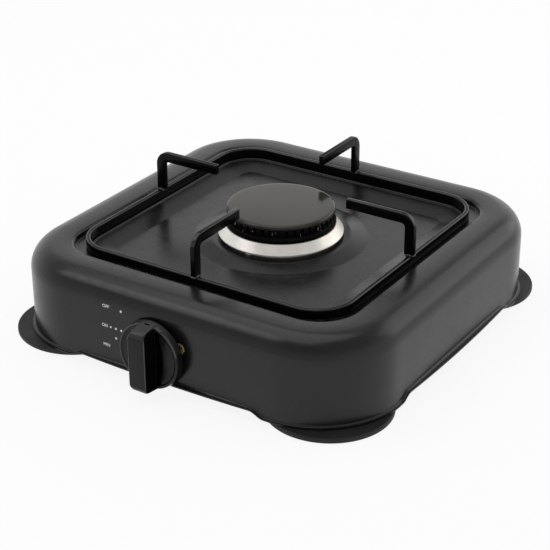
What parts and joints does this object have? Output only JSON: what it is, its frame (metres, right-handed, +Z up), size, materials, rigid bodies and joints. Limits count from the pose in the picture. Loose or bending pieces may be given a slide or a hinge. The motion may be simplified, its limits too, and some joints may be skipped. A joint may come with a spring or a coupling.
{
  "type": "tabletop gas hob",
  "caption": "Square tabletop gas hob with rolled sheet-steel body, lift-off pan support and burner, front control knob, rear hose nozzle and round rubber feet.",
  "frame": {"origin": "on the table, in the middle of the footprint over the feet and the knob", "axes": "+Z up, knob towards -Y, hose nozzle towards +Y, +X to the right as seen from the knob's side"},
  "size_m": [0.2832, 0.2996, 0.0944],
  "materials": {
    "shell_paint": "satin",
    "zinc_steel": "zinc plated",
    "foot_rubber": "matt",
    "plated_screws": "plated",
    "black_enamel": "gloss",
    "burner_aluminium": "turned",
    "tube_aluminium": "satin",
    "crown_black": "matt",
    "cap_enamel": "gloss enamel",
    "knob_plastic": "satin",
    "spindle_steel": "turned",
    "tap_brass": "turned",
    "spring_steel": "bright",
    "tap_zinc": "cast",
    "eyelet_brass": "polished",
    "gas_steel": "satin"
  },
  "bodies": {
    "base": {"body_shell": "shell_paint", "well_tray": "shell_paint", "corner_plates": "zinc_steel", "foot_front_left": "foot_rubber", "foot_front_right": "foot_rubber", "foot_back_left": "foot_rubber", "foot_back_right": "foot_rubber", "foot_screws": "plated_screws", "foot_nuts": "plated_screws", "burner_base": "burner_aluminium", "burner_elbow": "tube_aluminium", "burner_screws": "plated_screws", "mixing_tube": "tube_aluminium", "tap_body": "tap_zinc", "tap_cover": "zinc_steel", "tap_screws": "plated_screws", "bypass_screw": "tap_brass", "panel_eyelet": "eyelet_brass", "injector": "tap_brass", "tube_nut": "tap_brass", "gas_tube": "gas_steel", "tube_bracket": "zinc_steel", "inlet_bracket": "zinc_steel", "inlet_nut": "tap_brass", "hose_nozzle": "tap_brass"},
    "pan_support": {"pan_ring": "black_enamel", "pan_arm_front": "black_enamel", "pan_arm_right": "black_enamel", "pan_arm_back": "black_enamel", "pan_arm_left": "black_enamel"},
    "crown": {"burner_crown": "crown_black"},
    "cap": {"burner_cap": "cap_enamel"},
    "plug": {"tap_plug": "tap_brass", "tap_spring": "spring_steel"},
    "control_knob": {"knob": "knob_plastic", "knob_ring": "plated_screws", "spindle": "spindle_steel", "spindle_pin": "plated_screws"}
  },
  "joints": [
    {"name": "pan_support_lift", "type": "slide", "parent": "base", "child": "pan_support", "axis": [0, 0, 1], "range_m": [0, 0.06]},
    {"name": "crown_lift", "type": "slide", "parent": "base", "child": "crown", "axis": [0, 0, 1], "range_m": [0, 0.03]},
    {"name": "cap_lift", "type": "slide", "parent": "crown", "child": "cap", "axis": [0, 0, 1], "range_m": [0, 0.03]},
    {"name": "knob_turn", "type": "hinge", "parent": "base", "child": "plug", "pos_m": [-0.0055, -0.11475, 0.0267], "axis": [0, -1, 0], "range_deg": [0, 180]},
    {"name": "knob_push", "type": "slide", "parent": "plug", "child": "control_knob", "axis": [0, 1, 0], "range_m": [0, 0.0022], "stiffness_N_per_m": 800, "springref_m": -0.002, "deforming": ["tap_spring"]}
  ]
}
